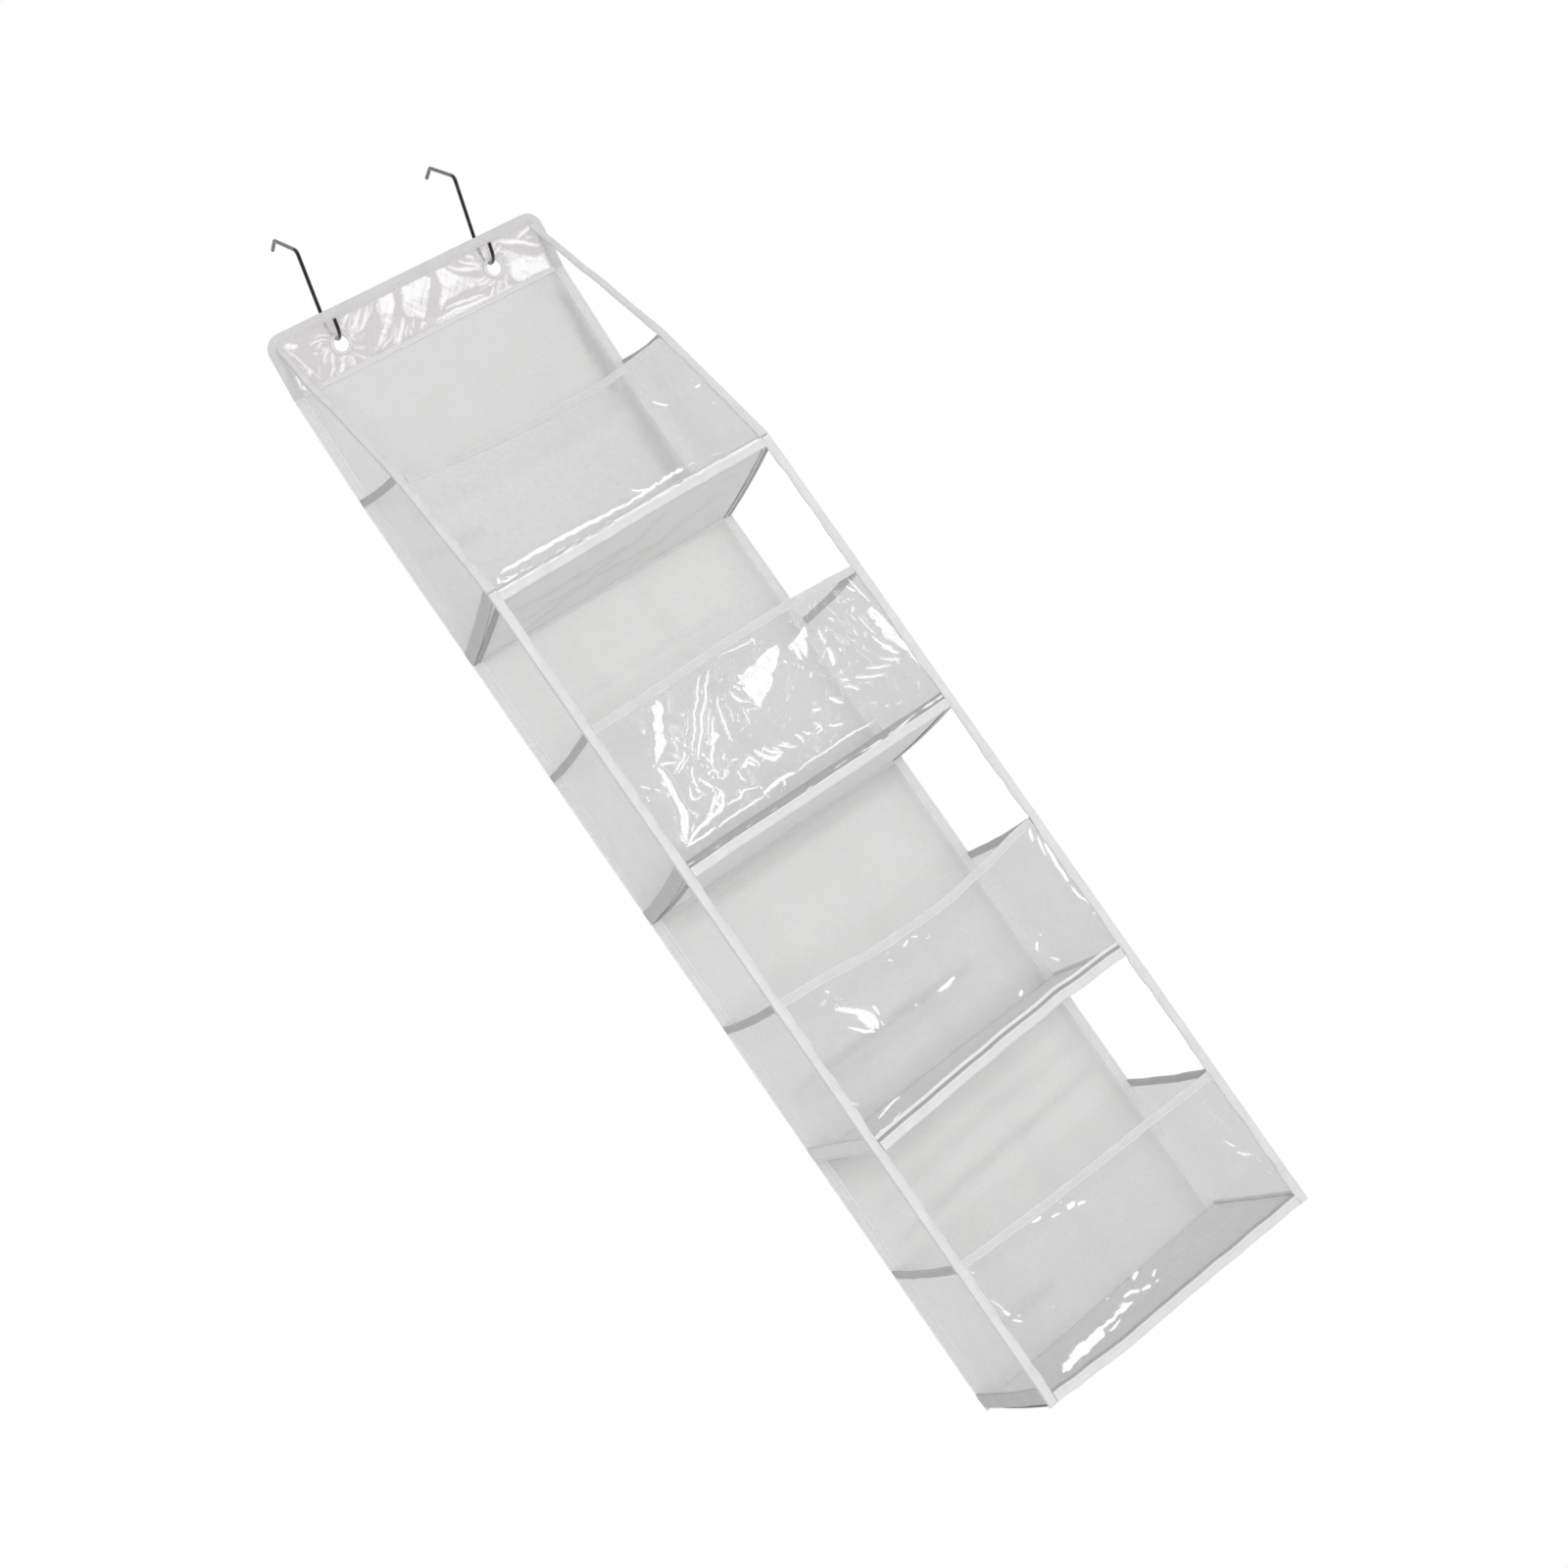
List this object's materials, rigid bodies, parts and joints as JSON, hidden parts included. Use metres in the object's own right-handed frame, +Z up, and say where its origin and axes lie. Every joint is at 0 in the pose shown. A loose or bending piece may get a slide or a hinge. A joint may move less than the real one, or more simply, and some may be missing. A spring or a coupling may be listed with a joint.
{
  "type": "hanging shoe organizer",
  "caption": "Over-the-door hanging organizer: clear box pockets on a fabric back panel with bound edges, wire door hooks, and pockets that fold flat for storage.",
  "frame": {"origin": "centre of the back panel's rear face, level with the lowest pocket's floor", "axes": "+X to the right seen from the front, +Y towards the door, +Z up along the panel"},
  "size_m": [0.3344, 0.1726, 1.3653],
  "materials": {
    "nonwoven_fabric": "matte non-woven fabric",
    "binding_tape": "matte folded tape, stitched",
    "clear_film": "clear glossy film",
    "eyelet_plastic": "pale moulded plastic",
    "hook_wire": "bright plated wire"
  },
  "bodies": {
    "back": {"back_panel": "nonwoven_fabric", "diagonal_strap_left": "binding_tape", "diagonal_strap_right": "binding_tape", "eyelet_left": "eyelet_plastic", "eyelet_right": "eyelet_plastic", "header_binding": "binding_tape", "header_film": "clear_film", "panel_binding_bottom": "binding_tape", "panel_binding_left": "binding_tape", "panel_binding_right": "binding_tape", "pocket_1_front_film": "clear_film", "pocket_1_front_rim": "binding_tape", "pocket_1_side_bottom_binding_left": "binding_tape", "pocket_1_side_bottom_binding_right": "binding_tape", "pocket_1_side_film_left": "clear_film", "pocket_1_side_film_right": "clear_film", "pocket_1_side_rim_left": "binding_tape", "pocket_1_side_rim_right": "binding_tape", "pocket_2_side_bottom_binding_left": "binding_tape", "pocket_2_side_bottom_binding_right": "binding_tape", "pocket_2_side_film_left": "clear_film", "pocket_2_side_film_right": "clear_film", "pocket_2_side_rim_left": "binding_tape", "pocket_2_side_rim_right": "binding_tape", "pocket_3_side_bottom_binding_left": "binding_tape", "pocket_3_side_bottom_binding_right": "binding_tape", "pocket_3_side_film_left": "clear_film", "pocket_3_side_film_right": "clear_film", "pocket_3_side_rim_left": "binding_tape", "pocket_3_side_rim_right": "binding_tape", "pocket_4_side_bottom_binding_left": "binding_tape", "pocket_4_side_bottom_binding_right": "binding_tape", "pocket_4_side_film_left": "clear_film", "pocket_4_side_film_right": "clear_film", "pocket_4_side_rim_left": "binding_tape", "pocket_4_side_rim_right": "binding_tape"},
    "front_frame": {"front_strap_left": "binding_tape", "front_strap_right": "binding_tape", "pocket_1_front_bottom_binding": "binding_tape", "pocket_2_front_bottom_binding": "binding_tape", "pocket_3_front_bottom_binding": "binding_tape", "pocket_4_front_bottom_binding": "binding_tape", "pocket_2_front_film": "clear_film", "pocket_2_front_rim": "binding_tape", "pocket_3_front_film": "clear_film", "pocket_3_front_rim": "binding_tape", "pocket_4_front_film": "clear_film", "pocket_4_front_rim": "binding_tape"},
    "floor_rear_1": {"pocket_1_floor_rear": "nonwoven_fabric"},
    "floor_front_1": {"pocket_1_floor_front": "nonwoven_fabric"},
    "floor_rear_2": {"pocket_2_floor_rear": "nonwoven_fabric"},
    "floor_front_2": {"pocket_2_floor_front": "nonwoven_fabric"},
    "floor_rear_3": {"pocket_3_floor_rear": "nonwoven_fabric"},
    "floor_front_3": {"pocket_3_floor_front": "nonwoven_fabric"},
    "floor_rear_4": {"pocket_4_floor_rear": "nonwoven_fabric"},
    "floor_front_4": {"pocket_4_floor_front": "nonwoven_fabric"},
    "hook_left": {"hook_left": "hook_wire"},
    "hook_right": {"hook_right": "hook_wire"}
  },
  "joints": [
    {"name": "fold", "type": "hinge", "parent": "back", "child": "floor_rear_1", "pos_m": [0, -0.0025, 0.886], "axis": [-1, 0, 0], "range_deg": [0, 80], "deforming": ["diagonal_strap_left", "diagonal_strap_right", "pocket_1_front_film", "pocket_1_front_rim", "pocket_1_side_film_left", "pocket_1_side_film_right", "pocket_1_side_rim_left", "pocket_1_side_rim_right", "pocket_1_side_bottom_binding_left", "pocket_1_side_bottom_binding_right", "pocket_2_side_film_left", "pocket_2_side_film_right", "pocket_2_side_rim_left", "pocket_2_side_rim_right", "pocket_2_side_bottom_binding_left", "pocket_2_side_bottom_binding_right", "pocket_3_side_film_left", "pocket_3_side_film_right", "pocket_3_side_rim_left", "pocket_3_side_rim_right", "pocket_3_side_bottom_binding_left", "pocket_3_side_bottom_binding_right", "pocket_4_side_film_left", "pocket_4_side_film_right", "pocket_4_side_rim_left", "pocket_4_side_rim_right", "pocket_4_side_bottom_binding_left", "pocket_4_side_bottom_binding_right"]},
    {"name": "floor_crease_1", "type": "hinge", "parent": "floor_rear_1", "child": "floor_front_1", "pos_m": [0, -0.08425, 0.8836], "axis": [1, 0, 0], "range_deg": [0, 160]},
    {"name": "front_frame_fold", "type": "hinge", "parent": "floor_front_1", "child": "front_frame", "pos_m": [0, -0.166, 0.886], "axis": [-1, 0, 0], "range_deg": [0, 80]},
    {"name": "floor_rear_fold_2", "type": "hinge", "parent": "back", "child": "floor_rear_2", "pos_m": [0, -0.0025, 0.572], "axis": [-1, 0, 0], "range_deg": [0, 80]},
    {"name": "floor_crease_2", "type": "hinge", "parent": "floor_rear_2", "child": "floor_front_2", "pos_m": [0, -0.08425, 0.5696], "axis": [1, 0, 0], "range_deg": [0, 160]},
    {"name": "floor_rear_fold_3", "type": "hinge", "parent": "back", "child": "floor_rear_3", "pos_m": [0, -0.0025, 0.288], "axis": [-1, 0, 0], "range_deg": [0, 80]},
    {"name": "floor_crease_3", "type": "hinge", "parent": "floor_rear_3", "child": "floor_front_3", "pos_m": [0, -0.08425, 0.2856], "axis": [1, 0, 0], "range_deg": [0, 160]},
    {"name": "floor_rear_fold_4", "type": "hinge", "parent": "back", "child": "floor_rear_4", "pos_m": [0, -0.0025, 0], "axis": [-1, 0, 0], "range_deg": [0, 80]},
    {"name": "floor_crease_4", "type": "hinge", "parent": "floor_rear_4", "child": "floor_front_4", "pos_m": [0, -0.08425, -0.0024], "axis": [1, 0, 0], "range_deg": [0, 160]},
    {"name": "hook_swing_left", "type": "hinge", "parent": "back", "child": "hook_left", "pos_m": [-0.0936, -0.03106, 1.25198], "axis": [1, 0, 0], "range_deg": [-50, 25]},
    {"name": "hook_swing_right", "type": "hinge", "parent": "back", "child": "hook_right", "pos_m": [0.0936, -0.03106, 1.25198], "axis": [1, 0, 0], "range_deg": [-50, 25]}
  ],
  "couplings": [
    {"joint": "floor_crease_1", "follows": "fold", "ratio": 2},
    {"joint": "front_frame_fold", "follows": "fold", "ratio": 1},
    {"joint": "floor_rear_fold_2", "follows": "fold", "ratio": 1},
    {"joint": "floor_crease_2", "follows": "fold", "ratio": 2},
    {"joint": "floor_rear_fold_3", "follows": "fold", "ratio": 1},
    {"joint": "floor_crease_3", "follows": "fold", "ratio": 2},
    {"joint": "floor_rear_fold_4", "follows": "fold", "ratio": 1},
    {"joint": "floor_crease_4", "follows": "fold", "ratio": 2}
  ]
}
